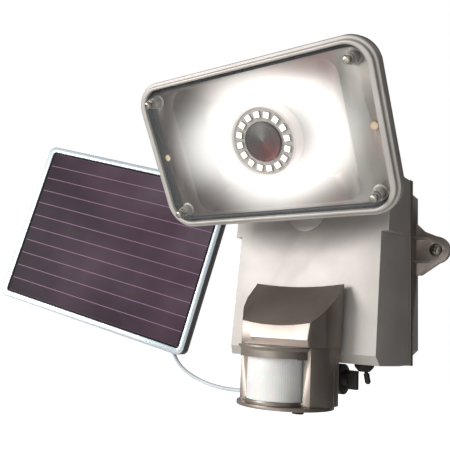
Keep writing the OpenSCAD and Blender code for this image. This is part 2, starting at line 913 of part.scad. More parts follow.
module solar_glass() {
    strip = (panel_h - 14) / strip_count;
    color([0.24, 0.17, 0.26]) in_panel() difference() {
        slab(panel_w - 6, panel_h - 6, 3.8, 1.25, 4);
        for (i = [1:strip_count - 1])
            block([-panel_w / 2 + 7, 1.1, -panel_h / 2 + 7 + i * strip - 0.4],
                [panel_w / 2 - 7, 1.3, -panel_h / 2 + 7 + i * strip + 0.4]);
    }
}

module panel_screws() {
    color(steel) in_panel() four(panel_screw_x, panel_screw_z)
        translate([0, panel_t + 2, 0]) mirror([0, 1, 0]) screw_y(1.5, 2.8, 1.95, 9);
}

// Box with a lid's rim and a short sleeve for the cord under it
module junction_box() {
    color(black) in_panel(0) translate([0, panel_t, box_z]) difference() {
        union() {
            slab(44, 34, 3, 0.05, 11);
            translate([0, 5, -23]) cylinder(h = 8, r = 4);
        }
        slab(40, 30, 2, -1, 9);
        translate([0, 5, -24]) cylinder(h = 12, r = cord_d / 2 + 0.05);
    }
}

// ---------- cord ----------

// Route from the strain relief to the coil's rim, along the cord's middle line
run_points = [[-40, -34, -91.5], [-40.5, -34, -96], [-43.5, -34.5, -100.5], [-50, -35.5, -103.5],
    [-62, -37.5, -105], [-78, -39, -106], [-95, -40, -105.5], [-114, -40, -102.5], [-132, -39, -97],
    [-148, -37, -90], [-162, -34, -79], [-173, -31, -64], [-180, -28, -46], [-185, -25, -26],
    [-188, -22.5, -3], [-189, -21.2, 19]];

function unit(v) = v / norm(v);
function route_dir(p, i) = unit(p[min(i + 1, len(p) - 1)] - p[max(i - 1, 0)]);

// Point on the smooth curve between two of the route's points
function between(p, i, t) =
    let (a = p[max(i - 1, 0)], b = p[i], c = p[i + 1], d = p[min(i + 2, len(p) - 1)])
    0.5 * ((2 * b) + (c - a) * t + (2 * a - 5 * b + 4 * c - d) * t * t + (3 * b - a - 3 * c + d) * t * t * t);

// The route with n steps between its points
function smooth(p, n) = concat([for (i = [0:len(p) - 2], k = [0:n - 1]) between(p, i, k / n)], [p[len(p) - 1]]);

// Tube of diameter d along the points p, with 8 sides
module tube(p, d, across) {
    sides = 8;
    rings = [for (i = [0:len(p) - 1]) let (t = route_dir(p, i), u = unit(cross(t, across)), v = cross(t, u))
        for (k = [0:sides - 1]) p[i] + d / 2 * (u * cos(k * 360 / sides) + v * sin(k * 360 / sides))];
    walls = [for (i = [0:len(p) - 2], k = [0:sides - 1]) let (a = i * sides + k, b = i * sides + (k + 1) % sides)
        [a, b, b + sides, a + sides]];
    ends = [[for (k = [sides - 1:-1:0]) k], [for (k = [0:sides - 1]) (len(p) - 1) * sides + k]];
    polyhedron(rings, concat(walls, ends), convexity = 6);
}

module cord_run() {
    color([0.8, 0.82, 0.82]) tube(smooth(run_points, 3), cord_d, [0, 1, 0]);
}

module cord_coil() {
    color([0.8, 0.82, 0.82]) in_arm() translate([0, coil_y - coil_t / 2, -coil_drop])
        rotate([-90, 0, 0]) rotate_extrude() translate([coil_mid_r - coil_half, 0]) square([2 * coil_half, coil_t]);
}

// Route from the coil's rim to the panel's junction box, in the bracket's frame
tail_points = [[-26, -20, -32.6], [-19, -20.5, -38.5], [-12, -22, -46], [-6, -26, -57], [-2.5, -33, -69],
    [-0.8, -41, -76.5], [0, -47, -77], [0, -49.3, -72.5], [0, -49, -67]];

module cord_tail() {
    color([0.8, 0.82, 0.82]) in_arm() tube(smooth(tail_points, 3), cord_d, [1, 0, 0]);
}

// Strap round the coil's turns at its foot
module cord_tie() {
    color(black) in_arm() translate([0, coil_y, -coil_drop - coil_mid_r]) difference() {
        block([-2, -coil_t / 2 - 1.2, -coil_half - 1.2], [2, coil_t / 2 + 1.2, coil_half + 1.2]);
        block([-3, -coil_t / 2 - 0.1, -coil_half - 0.6], [3, coil_t / 2 + 0.1, coil_half + 0.4]);
    }
}

rear_cover();
front_cover();
housing_gasket();
housing_screws();
battery_holder();
battery_cells();
control_board();
board_parts();
board_screws();
switch_body();
switch_boot();
switch_lever();
cord_gland();
strain_relief();
wall_screws();
head_boss();
head_yoke();
yoke_nut();
head_hinge_bolt();
head_hinge_nut();
in_head() head_shell();
in_head() head_bezel();
in_head() head_lens();
in_head() lens_gasket();
in_head() reflector();
in_head() led_board();
in_head() led_chips();
in_head() led_heatsink();
in_head() mirror_cap();
in_head() lens_screws();
in_head() reflector_pins();
sensor_arm();
sensor_arm_nut();
sensor_bolt();
sensor_knob();
sensor_front();
sensor_rear();
sensor_visor();
fresnel_lens();
sensor_base();
sensor_board();
infrared_detector();
range_dial();
timer_dial();
light_dial();
bracket_flange();
flange_screws();
bracket_pin();
bracket_arm();
bracket_bolt();
bracket_knob();
panel_tray();
panel_frame();
solar_glass();
junction_box();
panel_screws();
cord_run();
cord_coil();
cord_tail();
cord_tie();
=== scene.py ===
"""Looks of a solar flood light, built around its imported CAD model.

The wall is the plane y = 0, the light stands out of it towards -Y, and +Z is up. Lengths are in metres.
"""

import math

import bmesh
import bpy
from mathutils import Matrix, Vector


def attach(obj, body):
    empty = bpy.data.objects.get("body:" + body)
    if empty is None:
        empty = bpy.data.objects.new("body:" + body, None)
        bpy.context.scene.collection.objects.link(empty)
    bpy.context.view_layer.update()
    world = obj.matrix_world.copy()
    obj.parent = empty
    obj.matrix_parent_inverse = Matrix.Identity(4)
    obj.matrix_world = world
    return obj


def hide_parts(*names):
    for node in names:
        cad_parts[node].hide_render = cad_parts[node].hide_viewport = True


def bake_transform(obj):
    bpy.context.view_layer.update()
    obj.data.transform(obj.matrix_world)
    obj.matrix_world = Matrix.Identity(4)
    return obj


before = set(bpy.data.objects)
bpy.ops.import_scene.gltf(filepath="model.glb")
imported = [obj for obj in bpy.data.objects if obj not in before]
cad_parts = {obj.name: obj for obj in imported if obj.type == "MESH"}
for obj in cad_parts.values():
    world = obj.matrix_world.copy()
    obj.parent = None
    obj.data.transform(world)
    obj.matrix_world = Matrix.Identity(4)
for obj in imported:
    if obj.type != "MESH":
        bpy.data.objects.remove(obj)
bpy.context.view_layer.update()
MM = 0.001


# ---------- shared tools ----------

def shade(code):
    """An sRGB hex code as a linear colour with full alpha."""
    parts = [int(code[i:i + 2], 16) / 255 for i in (1, 3, 5)]
    return tuple(c / 12.92 if c <= 0.04045 else ((c + 0.055) / 1.055) ** 2.4 for c in parts) + (1.0,)


def add(tree, kind, sockets=None, stops=(), **settings):
    """Adds a node: its settings, the stops of its ramp, and its sockets as values or links."""
    node = tree.nodes.new(kind)
    for key, value in settings.items():
        setattr(node, key, value)
    for index, (place, tone) in enumerate(stops):
        ramp = node.color_ramp.elements
        element = ramp[index] if index < 2 else ramp.new(place)
        element.position = place
        element.color = tone
    for key, value in (sockets or {}).items():
        if isinstance(value, bpy.types.NodeSocket):
            tree.links.new(value, node.inputs[key])
        else:
            node.inputs[key].default_value = value
    return node


def in_scene(name, data):
    """A new object in the scene, at the origin."""
    made = bpy.data.objects.new(name, data)
    bpy.context.scene.collection.objects.link(made)
    return made


def mesh_of(form, name):
    """A bmesh form as a mesh; the form is freed."""
    mesh = bpy.data.meshes.new(name)
    form.to_mesh(mesh)
    form.free()
    return mesh


def blank_material(name):
    """A material without nodes, and its tree."""
    material = bpy.data.materials.new(name)
    material.use_nodes = True
    material.node_tree.nodes.clear()
    return material, material.node_tree


def piece_from(name, mesh, body, finish, *stands_for):
    """A finished piece that rides on a body and stands for CAD nodes."""
    piece = in_scene(name, mesh)
    if finish is not None:
        mesh.materials.clear()
        mesh.materials.append(finish)
    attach(piece, body)
    if stands_for:
        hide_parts(*stands_for)
    return piece


def smooth_by_angle(mesh, degrees=35):
    """Smooth shading that keeps the edges sharper than the angle."""
    mesh.polygons.foreach_set("use_smooth", [True] * len(mesh.polygons))
    mesh.set_sharp_from_angle(angle=math.radians(degrees))


def evaluated_mesh(piece):
    """The mesh that a piece's modifiers give, as plain data."""
    graph = bpy.context.evaluated_depsgraph_get()
    graph.update()
    return bpy.data.meshes.new_from_object(piece.evaluated_get(graph))


def merged_copy(node, dissolve=True):
    """A copy of a CAD node's mesh with its loose triangles joined into whole faces."""
    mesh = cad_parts[node].data.copy()
    form = bmesh.new()
    form.from_mesh(mesh)
    bmesh.ops.remove_doubles(form, verts=form.verts, dist=2e-6)
    if dissolve:
        bmesh.ops.dissolve_limit(form, angle_limit=math.radians(1.5), verts=form.verts, edges=form.edges)
    form.to_mesh(mesh)
    form.free()
    return mesh


def bevelled(mesh, radius_mm, segments, angle):
    """The mesh with its edges sharper than the angle rounded."""
    rough = in_scene("rough", mesh)
    bevel = rough.modifiers.new("edges", "BEVEL")
    bevel.width = radius_mm * MM
    bevel.segments = segments
    bevel.limit_method = "ANGLE"
    bevel.angle_limit = math.radians(angle)
    done = evaluated_mesh(rough)
    bpy.data.objects.remove(rough)
    return done


def surface(mesh):
    """Area of a mesh as its triangles draw it."""
    mesh.calc_loop_triangles()
    return sum(triangle.area for triangle in mesh.loop_triangles)


# A rounded piece whose area differs by more than this share has lost an opening
AREA_SLACK = 0.05


def softened(node, body, finish, radius_mm, segments=2, angle=28):
    """The CAD node again with its edges rounded, as a moulded or turned piece has them.

    Joining the triangles first gives the cleanest edges, but closes some rings. Those keep their
    triangles."""
    plain = merged_copy(node, dissolve=False)
    done = plain
    if radius_mm:
        done = bevelled(merged_copy(node), radius_mm, segments, angle)
        if abs(surface(done) / surface(plain) - 1) > AREA_SLACK:
            done = bevelled(plain, radius_mm, segments, angle)
    smooth_by_angle(done)
    return piece_from(node + "_moulded", done, body, finish, node)


def spun(profile, sides=64, closed=False):
    """A form turned about Y from (radius, y) points in millimetres, faces outwards."""
    form = bmesh.new()
    rings = []
    for radius, y in profile:
        if radius < 1e-6:
            rings.append([form.verts.new((0, y * MM, 0))])
        else:
            rings.append([form.verts.new((radius * MM * math.sin(2 * math.pi * k / sides), y * MM,
                                          radius * MM * math.cos(2 * math.pi * k / sides)))
                          for k in range(sides)])
    pairs = list(zip(rings, rings[1:])) + ([(rings[-1], rings[0])] if closed else [])
    for first, second in pairs:
        for k in range(sides):
            n = (k + 1) % sides
            corners = [first[k % len(first)], first[n % len(first)],
                       second[n % len(second)], second[k % len(second)]]
            form.faces.new(list(dict.fromkeys(corners)))
    bmesh.ops.recalc_face_normals(form, faces=form.faces)
    mesh = mesh_of(form, "spun")
    smooth_by_angle(mesh)
    return mesh


def joined(*parts):
    """Several (mesh, matrix) pairs as one mesh."""
    form = bmesh.new()
    for mesh, place in parts:
        copy = mesh.copy()
        copy.transform(place)
        form.from_mesh(copy)
    mesh = mesh_of(form, "joined")
    smooth_by_angle(mesh)
    return mesh


# ---------- where things are ----------

# The middle of the lamp head's face, of the bracket's hinge, and of the panel's face
HEAD = Matrix.Translation((0, -0.150, 0.0747)) @ Matrix.Rotation(math.radians(30), 4, "X")
ARM = Matrix.Translation((-0.230, -0.016, 0.024)) @ Matrix.Rotation(math.radians(16.3), 4, "Z")
PANEL = (ARM @ Matrix.Translation((0, -0.036, 0)) @ Matrix.Rotation(math.radians(-3.4), 4, "X")
         @ Matrix.Translation((0, -0.027, 0)) @ Matrix.Rotation(math.radians(13.5), 4, "Y"))
# The sensor window's upright axis, in millimetres and as a point
LENS_Y = -100
LENS_AXIS = Vector((0, LENS_Y * MM, 0))


# ---------- camera and studio ----------

def make_camera():
    """A view from the right and a little below, with the horizon turned by 2.9 degrees."""
    turn, rise, roll = (math.radians(d) for d in (36.37, 9.11, 2.92))
    forward = Vector((-math.sin(turn) * math.cos(rise), math.cos(turn) * math.cos(rise), math.sin(rise)))
    level = Vector((math.cos(turn), math.sin(turn), 0))
    above = level.cross(forward)
    right = level * math.cos(roll) + above * math.sin(roll)
    up = above * math.cos(roll) - level * math.sin(roll)
    camera = in_scene("camera", bpy.data.cameras.new("camera"))
    camera.matrix_world = Matrix.Translation((0.23327, -0.49087, -0.04694)) @ Matrix(
        (right, up, -forward)).transposed().to_4x4()
    camera.data.sensor_width = 36
    camera.data.lens = 48.14
    camera.data.clip_start = 0.01
    bpy.context.scene.camera = camera


def softbox(name, place, aim, width, height, watts, tone="#ffffff"):
    """A rectangular studio light that faces a point."""
    light = bpy.data.lights.new(name, "AREA")
    light.shape = "RECTANGLE"
    light.size, light.size_y = width, height
    light.energy = watts
    light.color = shade(tone)[:3]
    holder = in_scene(name, light)
    holder.location = place
    holder.rotation_euler = (Vector(place) - Vector(aim)).to_track_quat("Z", "Y").to_euler()


def dark_card(name, place, aim, width, height):
    """A dark board out of sight that gives the satin faces something to reflect."""
    form = bmesh.new()
    bmesh.ops.create_grid(form, x_segments=1, y_segments=1, size=0.5)
    mesh = mesh_of(form, name)
    mesh.transform(Matrix.Diagonal((width, height, 1, 1)))
    mesh.materials.append(card_board)
    card = in_scene(name, mesh)
    card.location = place
    card.rotation_euler = (Vector(place) - Vector(aim)).to_track_quat("Z", "Y").to_euler()
    card.visible_camera = False


def plain_material(name, code, roughness, glow=0.0):
    """A studio surface of one colour, which may look brighter to the camera than it lights the object."""
    material, tree = blank_material(name)
    seen = add(tree, "ShaderNodeLightPath").outputs["Is Camera Ray"]
    strength = add(tree, "ShaderNodeMath", {0: seen, 1: glow}, operation="MULTIPLY")
    shader = add(tree, "ShaderNodeBsdfPrincipled", {
        "Base Color": shade(code), "Roughness": roughness,
        "Emission Color": shade(code), "Emission Strength": strength.outputs[0]})
    add(tree, "ShaderNodeOutputMaterial", {"Surface": shader.outputs[0]})
    return material


card_board = plain_material("studio_card", "#2b2725", 0.9)
floor_board = plain_material("studio_floor", "#f4f4f4", 0.9, 1.0)

# How brightly the surroundings light the object; the camera itself sees them at full white
ROOM = 0.42


def make_studio():
    """White surroundings, a pale floor, two soft lights, and dark cards above and to the right."""
    world = bpy.data.worlds.new("studio")
    bpy.context.scene.world = world
    world.use_nodes = True
    world.node_tree.nodes.clear()
    seen = add(world.node_tree, "ShaderNodeLightPath").outputs["Is Camera Ray"]
    strength = add(world.node_tree, "ShaderNodeMath", {0: seen, 1: 1 - ROOM, 2: ROOM},
                   operation="MULTIPLY_ADD")
    light = add(world.node_tree, "ShaderNodeBackground", {
        "Color": (1, 1, 1, 1), "Strength": strength.outputs[0]})
    add(world.node_tree, "ShaderNodeOutputWorld", {"Surface": light.outputs[0]})
    form = bmesh.new()
    bmesh.ops.create_grid(form, x_segments=1, y_segments=1, size=6)
    mesh = mesh_of(form, "floor")
    mesh.transform(Matrix.Translation((0, 0, -0.55)))
    mesh.materials.append(floor_board)
    floor = in_scene("floor", mesh)
    aim = (0, -0.07, 0.02)
    softbox("key_light", (-0.64, -1.1, 0.20), aim, 0.6, 0.5, 12)
    softbox("front_light", (0.05, -1.2, -0.3), aim, 0.8, 0.4, 2)
    dark_card("card_right", (0.85, 0.4, 0.1), aim, 1.9, 1.4)
    dark_card("card_above", (-0.2, 0.1, 0.8), aim, 1.3, 0.9)
    bpy.context.scene.view_settings.view_transform = "Standard"


# ---------- finishes ----------

def coated(name, light, dark, metallic, roughness, grain_mm, bump, cloud_mm=35, rough_swing=0.06, **sockets):
    """A Principled finish whose tone drifts between two shades over cloud_mm, with a fine grain."""
    material, tree = blank_material(name)
    place = add(tree, "ShaderNodeTexCoord").outputs["Object"]
    drift = add(tree, "ShaderNodeTexNoise", {
        "Vector": place, "Scale": 1 / (cloud_mm * MM), "Detail": 3.0, "Roughness": 0.55})
    tone = add(tree, "ShaderNodeValToRGB", {"Fac": drift.outputs[0]},
               stops=((0.3, shade(dark)), (0.7, shade(light))))
    grain = add(tree, "ShaderNodeTexNoise", {
        "Vector": place, "Scale": 1 / (grain_mm * MM), "Detail": 2.0, "Roughness": 0.6})
    gloss = add(tree, "ShaderNodeMapRange", {
        "Value": grain.outputs[0], "To Min": roughness - rough_swing, "To Max": roughness + rough_swing})
    relief = add(tree, "ShaderNodeBump", {
        "Height": grain.outputs[0], "Strength": bump, "Distance": grain_mm * MM * 0.25})
    shader = add(tree, "ShaderNodeBsdfPrincipled", {
        "Base Color": tone.outputs[0], "Roughness": gloss.outputs[0], "Normal": relief.outputs[0],
        "Metallic": metallic, **sockets})
    add(tree, "ShaderNodeOutputMaterial", {"Surface": shader.outputs[0]})
    return material


# Silver lacquer sprayed on moulded ABS: fine aluminium flake, so a satin metal look with a warm tinge.
# Its flake is about 0.05 mm; it is drawn at 0.5 mm, so that it shows at all.
silver_lacquer = coated("silver_lacquer_on_abs", "#b9b4ae", "#aba59f", 0.4, 0.5, 0.5, 0.12)
# The same lacquer in a darker, browner shade on the back pieces and the sensor.
umber_lacquer = coated("umber_silver_lacquer_on_abs", "#968c84", "#857b73", 0.7, 0.38, 0.5, 0.12)
# Moulded black ABS: spark-eroded mould texture of about 0.6 mm, dull and slightly uneven.
black_abs = coated("moulded_black_abs", "#2b2825", "#201d1b", 0.0, 0.55, 0.6, 0.25, IOR=1.54)
# Dark brown-black polypropylene of the panel's tray, with a soft sheen from its smooth mould.
tray_polypropylene = coated("panel_tray_polypropylene", "#4a413b", "#38312c", 0.0, 0.42, 0.7, 0.2, IOR=1.49)
# Nitrile rubber: deep black, matt, with a powdery bloom.
nitrile = coated("nitrile_rubber", "#191817", "#0f0e0e", 0.0, 0.7, 0.3, 0.2, IOR=1.52)
# Zinc-plated steel: bright, faintly yellow, with fine turning marks.
zinc_steel = coated("zinc_plated_steel", "#cdc8bf", "#a9a298", 1.0, 0.28, 0.25, 0.15, cloud_mm=4)
# Cast aluminium of the heat sink: pale, with a sandy skin.
cast_aluminium = coated("cast_aluminium", "#bdbdbc", "#a2a2a2", 1.0, 0.5, 0.4, 0.35)
# White solder mask on the LED board: a glossy enamel-like ink.
white_mask = coated("white_solder_mask", "#b3aca6", "#a39c96", 0.0, 0.3, 0.4, 0.1, IOR=1.55)
# Green solder mask: a semi-gloss lacquer over the copper's relief.
green_mask = coated("green_solder_mask", "#1f6a38", "#17522b", 0.0, 0.3, 0.8, 0.3, cloud_mm=6, IOR=1.55)
# Shrink sleeve of the cells: thin glossy PVC film.
cell_sleeve = coated("pvc_shrink_sleeve", "#3f8f5c", "#347c4e", 0.0, 0.25, 0.9, 0.1, IOR=1.53)
# Silver-white enamel on the panel's frame: smooth, cool and bright.
frame_enamel = coated("silver_white_enamel", "#b4bec4", "#a6b1b8", 0.15, 0.24, 0.5, 0.08, IOR=1.5,
                      **{"Coat Weight": 0.4, "Coat Roughness": 0.1})
# Soft PVC jacket of the cord: light grey, waxy, slightly dimpled.
cord_jacket = coated("soft_pvc_jacket", "#c9cfd0", "#bcc3c5", 0.0, 0.45, 0.7, 0.2, cloud_mm=20, IOR=1.53)
# Natural nylon side pins: cream, slightly glossy.
nylon = coated("cream_nylon", "#d8c2a0", "#c9b08c", 0.0, 0.35, 0.3, 0.1, cloud_mm=3, IOR=1.53)


# Where the glow painted on the plating ends, in metres from the ring's middle
PAINTED_GLOW_HALF_W, PAINTED_GLOW_HALF_H = 0.088, 0.062


def plating_material():
    """Vacuum-metallised plastic with a painted glow: one soft oval of light round the LED ring is painted
    into it as emission, since the LEDs in front of it don't light it. Away from the glow the film is a
    warm grey mirror with faint pink and green bands where it thins."""
    material, tree = blank_material("vacuum_metallised_plastic_painted_glow")
    back = HEAD.inverted()
    place = add(tree, "ShaderNodeTexCoord").outputs["Object"]
    local = add(tree, "ShaderNodeMapping", {
        "Vector": place, "Location": back.translation, "Rotation": back.to_euler()}).outputs[0]
    # Distance from the ring's middle, with the oval 1.4 times as wide as it is tall
    oval = add(tree, "ShaderNodeVectorMath", {0: local, 1: (1 / PAINTED_GLOW_HALF_W, 0, 1 / PAINTED_GLOW_HALF_H)},
               operation="MULTIPLY")
    far = add(tree, "ShaderNodeVectorMath", {0: oval.outputs[0]}, operation="LENGTH").outputs["Value"]
    # Painted glow: bright in a band round the ring, dimmer close to the ring as painted shade, gone past the
    # oval's edge
    glow = add(tree, "ShaderNodeValToRGB", {"Fac": far}, stops=(
        (0.0, (0.35, 0.35, 0.35, 1)), (1.0, (0, 0, 0, 1)), (0.32, (0.4, 0.4, 0.4, 1)),
        (0.46, (0.95, 0.95, 0.95, 1)), (0.68, (1, 1, 1, 1)), (0.84, (0.2, 0.2, 0.2, 1))))
    glow.color_ramp.interpolation = "B_SPLINE"
    strength = add(tree, "ShaderNodeMath", {0: glow.outputs[0], 1: 1.1}, operation="MULTIPLY")
    bands = add(tree, "ShaderNodeTexNoise", {
        "Vector": local, "Scale": 22.0, "Detail": 2.0, "Distortion": 0.6})
    film = add(tree, "ShaderNodeValToRGB", {"Fac": bands.outputs[0]}, stops=(
        (0.3, shade("#87716b")), (0.75, shade("#99938b")), (0.45, shade("#8c7d77")), (0.6, shade("#85827b"))))
    # Painted shade: the film is darker towards the head's side of lower X
    across = add(tree, "ShaderNodeSeparateXYZ", {0: local})
    side = add(tree, "ShaderNodeMapRange", {
        "Value": across.outputs["X"], "From Min": -0.095, "From Max": 0.03}, interpolation_type="SMOOTHSTEP")
    film_with_painted_shade = add(tree, "ShaderNodeMix", {
        0: side.outputs[0], 6: shade("#4c403b"), 7: film.outputs[0]}, data_type="RGBA")
    ripple = add(tree, "ShaderNodeTexNoise", {"Vector": local, "Scale": 160.0, "Detail": 2.0})
    relief = add(tree, "ShaderNodeBump", {
        "Height": ripple.outputs[0], "Strength": 0.12, "Distance": 0.0006})
    shader = add(tree, "ShaderNodeBsdfPrincipled", {
        "Base Color": film_with_painted_shade.outputs[2], "Metallic": 1.0, "Roughness": 0.3, "Normal": relief.outputs[0],
        "Emission Color": shade("#fffdf9"), "Emission Strength": strength.outputs[0]})
    add(tree, "ShaderNodeOutputMaterial", {"Surface": shader.outputs[0]})
    return material


def cap_material():
    """Dark chrome spun on a lathe, with painted reflections: wedges of light and dark turn round its middle,
    with a red tinge below.
    """
    material, tree = blank_material("spun_dark_chrome_painted_reflection")
    back = HEAD.inverted()
    place = add(tree, "ShaderNodeTexCoord").outputs["Object"]
    local = add(tree, "ShaderNodeMapping", {
        "Vector": place, "Location": back.translation, "Rotation": back.to_euler()}).outputs[0]
    apart = add(tree, "ShaderNodeSeparateXYZ", {0: local})
    turn = add(tree, "ShaderNodeMath", {0: apart.outputs["X"], 1: apart.outputs["Z"]}, operation="ARCTAN2")
    share = add(tree, "ShaderNodeMapRange", {
        "Value": turn.outputs[0], "From Min": -math.pi, "From Max": math.pi})
    # Painted reflection: light and dark wedges round the cap's middle
    painted_reflection_wedges = add(tree, "ShaderNodeValToRGB", {"Fac": share.outputs[0]}, stops=(
        (0.0, shade("#6d3f3c")), (1.0, shade("#6d3f3c")), (0.16, shade("#4a3d3b")), (0.36, shade("#3b3836")),
        (0.5, shade("#8f8b87")), (0.6, shade("#5b5552")), (0.78, shade("#57413f")), (0.9, shade("#8d5450"))))
    painted_reflection_wedges.color_ramp.interpolation = "B_SPLINE"
    shader = add(tree, "ShaderNodeBsdfPrincipled", {
        "Base Color": painted_reflection_wedges.outputs[0], "Metallic": 1.0, "Roughness": 0.22})
    add(tree, "ShaderNodeOutputMaterial", {"Surface": shader.outputs[0]})
    return material


def polycarbonate_material():
    """Clear injection-moulded polycarbonate: nearly unseen, with a soft gloss."""
    material, tree = blank_material("clear_polycarbonate")
    place = add(tree, "ShaderNodeTexCoord").outputs["Object"]
    haze = add(tree, "ShaderNodeTexNoise", {"Vector": place, "Scale": 30.0, "Detail": 2.0})
    cover = add(tree, "ShaderNodeMapRange", {"Value": haze.outputs[0], "To Min": 0.02, "To Max": 0.045})
    shader = add(tree, "ShaderNodeBsdfPrincipled", {
        "Base Color": shade("#e9edee"), "Roughness": 0.06, "IOR": 1.58, "Alpha": cover.outputs[0],
        "Specular IOR Level": 1.0})
    add(tree, "ShaderNodeOutputMaterial", {"Surface": shader.outputs[0]})
    return material


def phosphor_material():
    """Silicone with phosphor over a lit LED die: warm white light, flecked a little yellower."""
    material, tree = blank_material("lit_phosphor")
    place = add(tree, "ShaderNodeTexCoord").outputs["Object"]
    speck = add(tree, "ShaderNodeTexNoise", {"Vector": place, "Scale": 900.0, "Detail": 2.0})
    tone = add(tree, "ShaderNodeValToRGB", {"Fac": speck.outputs[0]},
               stops=((0.35, shade("#fff3c4")), (0.65, shade("#fffdf4"))))
    shader = add(tree, "ShaderNodeBsdfPrincipled", {
        "Base Color": tone.outputs[0], "Roughness": 0.3, "Emission Color": tone.outputs[0],
        "Emission Strength": 2.2})
    add(tree, "ShaderNodeOutputMaterial", {"Surface": shader.outputs[0]})
    return material


# Grooves in a whole turn of the sensor's window
GROOVES = 110.0


def milky_material():
    """Milky polyethylene of the sensor's window: waxy, with fine upright grooves about 1.3 mm apart."""
    material, tree = blank_material("milky_polyethylene")
    place = add(tree, "ShaderNodeTexCoord").outputs["Object"]
    middle = add(tree, "ShaderNodeMapping", {"Vector": place, "Location": -LENS_AXIS}).outputs[0]
    apart = add(tree, "ShaderNodeSeparateXYZ", {0: middle})
    turn = add(tree, "ShaderNodeMath", {0: apart.outputs["X"], 1: apart.outputs["Y"]}, operation="ARCTAN2")
    many = add(tree, "ShaderNodeMath", {0: turn.outputs[0], 1: GROOVES}, operation="MULTIPLY")
    wave = add(tree, "ShaderNodeMath", {0: many.outputs[0]}, operation="SINE")
    relief = add(tree, "ShaderNodeBump", {"Height": wave.outputs[0], "Strength": 0.25, "Distance": 0.00012})
    cloud = add(tree, "ShaderNodeTexNoise", {"Vector": middle, "Scale": 40.0, "Detail": 2.0})
    tone = add(tree, "ShaderNodeValToRGB", {"Fac": cloud.outputs[0]},
               stops=((0.35, shade("#dedcd9")), (0.65, shade("#e9e7e4"))))
    shader = add(tree, "ShaderNodeBsdfPrincipled", {
        "Base Color": tone.outputs[0], "Roughness": 0.4, "IOR": 1.51, "Normal": relief.outputs[0],
        "Subsurface Weight": 0.5, "Subsurface Scale": 0.002})
    add(tree, "ShaderNodeOutputMaterial", {"Surface": shader.outputs[0]})
    return material


# The panel, in millimetres, and its strips and the area that they fill, in metres
PANEL_W, PANEL_H = 218, 166
STRIPS = 11
STRIP = (PANEL_H - 14) / STRIPS * MM
CELL_HALF_W = (PANEL_W / 2 - 7.5) * MM
CELL_HALF_H = (PANEL_H / 2 - 7.2) * MM


def cell_material():
    """Thin-film silicon behind glass: purple-brown strips parted by thin paler scribe lines.

    The scribe lines of a real panel are 0.3 mm; they are drawn at 0.7 mm, so that they show."""
    material, tree = blank_material("thin_film_silicon_glass")
    back = PANEL.inverted()
    place = add(tree, "ShaderNodeTexCoord").outputs["Object"]
    local = add(tree, "ShaderNodeMapping", {
        "Vector": place, "Location": back.translation, "Rotation": back.to_euler()}).outputs[0]
    apart = add(tree, "ShaderNodeSeparateXYZ", {0: local})
    cloud = add(tree, "ShaderNodeTexNoise", {"Vector": local, "Scale": 11.0, "Detail": 3.0, "Roughness": 0.5})
    # Darker towards the panel's lower left corner
    slope = add(tree, "ShaderNodeMath", {0: apart.outputs["X"], 1: 1.7, 2: 0.06},
                operation="MULTIPLY_ADD")
    lift = add(tree, "ShaderNodeMath", {0: apart.outputs["Z"], 1: 2.1, 2: slope.outputs[0]},
               operation="MULTIPLY_ADD")
    amount = add(tree, "ShaderNodeMath", {0: lift.outputs[0], 1: cloud.outputs[0]}, operation="ADD")
    film = add(tree, "ShaderNodeValToRGB", {"Fac": amount.outputs[0]}, stops=(
        (0.2, shade("#1c1119")), (0.9, shade("#564a55")), (0.45, shade("#33242f")), (0.65, shade("#45333f"))))
    # Height within a strip, from 0 to 1, and how near it is to the strip's edge
    rise = add(tree, "ShaderNodeMath", {0: apart.outputs["Z"], 1: 1 / STRIP, 2: STRIPS / 2},
               operation="MULTIPLY_ADD")
    within = add(tree, "ShaderNodeMath", {0: rise.outputs[0]}, operation="FRACT")
    centred = add(tree, "ShaderNodeMath", {0: within.outputs[0], 1: 0.5}, operation="SUBTRACT")
    edge = add(tree, "ShaderNodeMath", {0: centred.outputs[0]}, operation="ABSOLUTE")
    line = add(tree, "ShaderNodeMapRange", {
        "Value": edge.outputs[0], "From Min": 0.468, "From Max": 0.485})
    lined = add(tree, "ShaderNodeMix", {
        0: line.outputs[0], 6: film.outputs[0], 7: shade("#8a6c83")}, data_type="RGBA")
    # A black border round the cells
    wide = add(tree, "ShaderNodeMath", {0: apart.outputs["X"]}, operation="ABSOLUTE")
    high = add(tree, "ShaderNodeMath", {0: apart.outputs["Z"]}, operation="ABSOLUTE")
    past_w = add(tree, "ShaderNodeMath", {0: wide.outputs[0], 1: CELL_HALF_W}, operation="GREATER_THAN")
    past_h = add(tree, "ShaderNodeMath", {0: high.outputs[0], 1: CELL_HALF_H}, operation="GREATER_THAN")
    past = add(tree, "ShaderNodeMath", {0: past_w.outputs[0], 1: past_h.outputs[0]}, operation="MAXIMUM")
    edged = add(tree, "ShaderNodeMix", {
        0: past.outputs[0], 6: lined.outputs[2], 7: shade("#141215")}, data_type="RGBA")
    shader = add(tree, "ShaderNodeBsdfPrincipled", {
        "Base Color": edged.outputs[2], "Roughness": 0.4, "IOR": 1.5, "Specular IOR Level": 0.06})
    add(tree, "ShaderNodeOutputMaterial", {"Surface": shader.outputs[0]})
    return material


plating = plating_material()
dark_chrome = cap_material()
clear_lens = polycarbonate_material()
phosphor = phosphor_material()
milky = milky_material()
solar_film = cell_material()


# ---------- repeated pieces, by Geometry Nodes ----------

